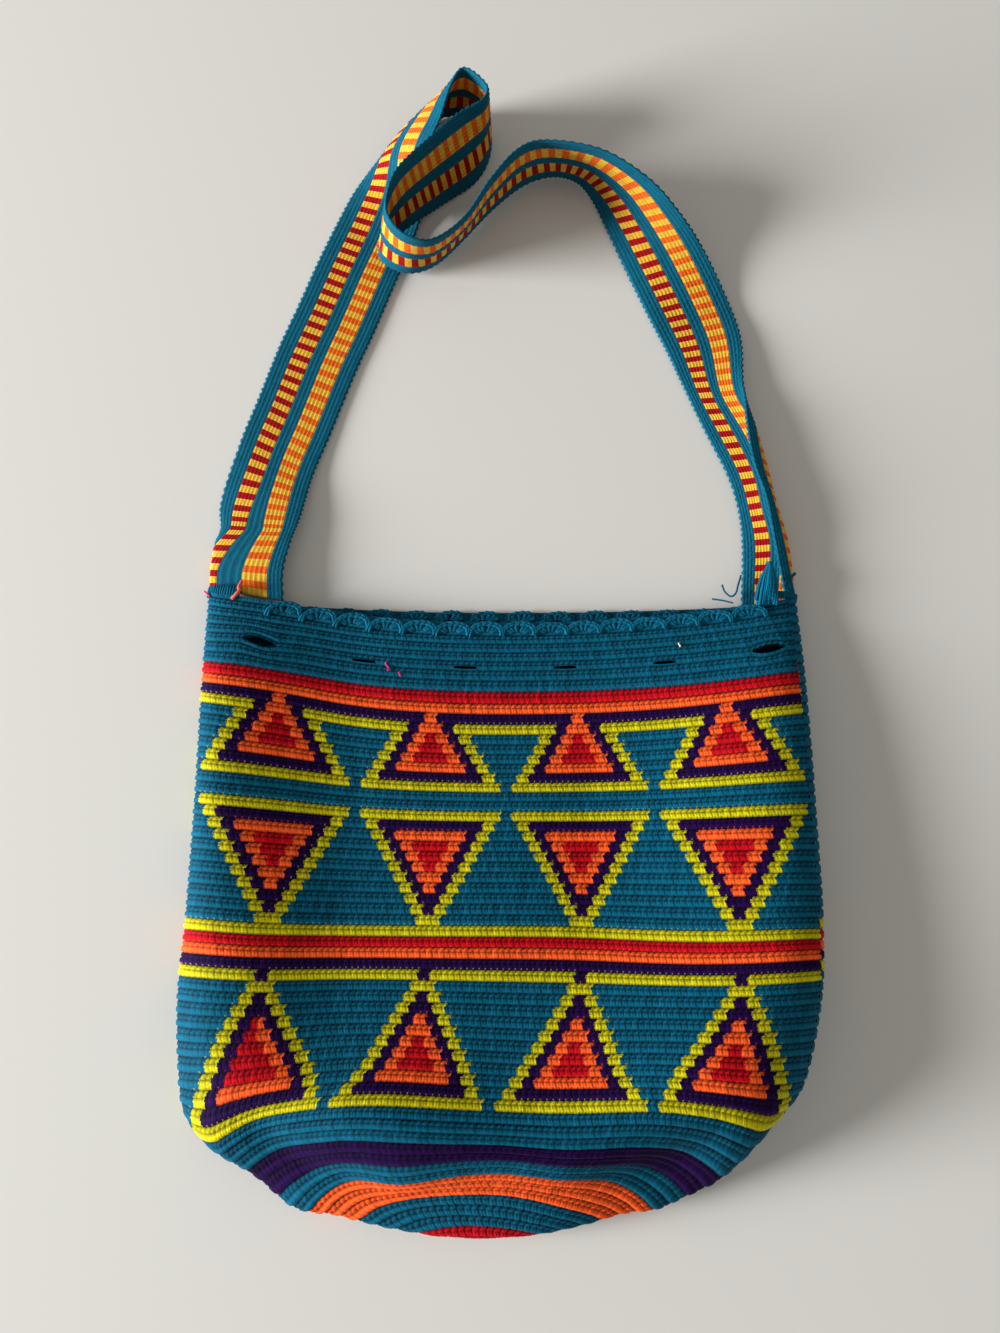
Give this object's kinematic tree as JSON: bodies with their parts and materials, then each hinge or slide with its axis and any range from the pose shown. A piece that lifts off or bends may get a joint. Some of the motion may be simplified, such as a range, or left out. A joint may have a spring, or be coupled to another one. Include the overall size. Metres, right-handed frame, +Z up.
{
  "type": "crocheted shoulder bag",
  "caption": "Crocheted bucket bag with triangle motifs and coloured bands, lying flat on its back with its woven shoulder strap laid out above the open mouth.",
  "frame": {"origin": "point of the flat underside the bag rests on, below the middle of the bag body", "axes": "+X to the wearer's right across the bag's front, +Y from the round base to the mouth and strap, +Z up out of the bag's front"},
  "size_m": [0.3109, 0.6014, 0.0546],
  "materials": {
    "crochet_yarn": "matte twisted yarn in tight crochet, teal with lime, purple, orange and red",
    "strap_weave": "matte warp-faced weave, teal with red, orange and yellow stripes",
    "joining_yarn": "matte twisted yarn"
  },
  "bodies": {
    "root": {"bag_body": "crochet_yarn", "shoulder_strap": "strap_weave", "left_joining_yarn": "joining_yarn", "right_joining_yarn": "joining_yarn", "yarn_tuft": "joining_yarn"}
  },
  "joints": []
}
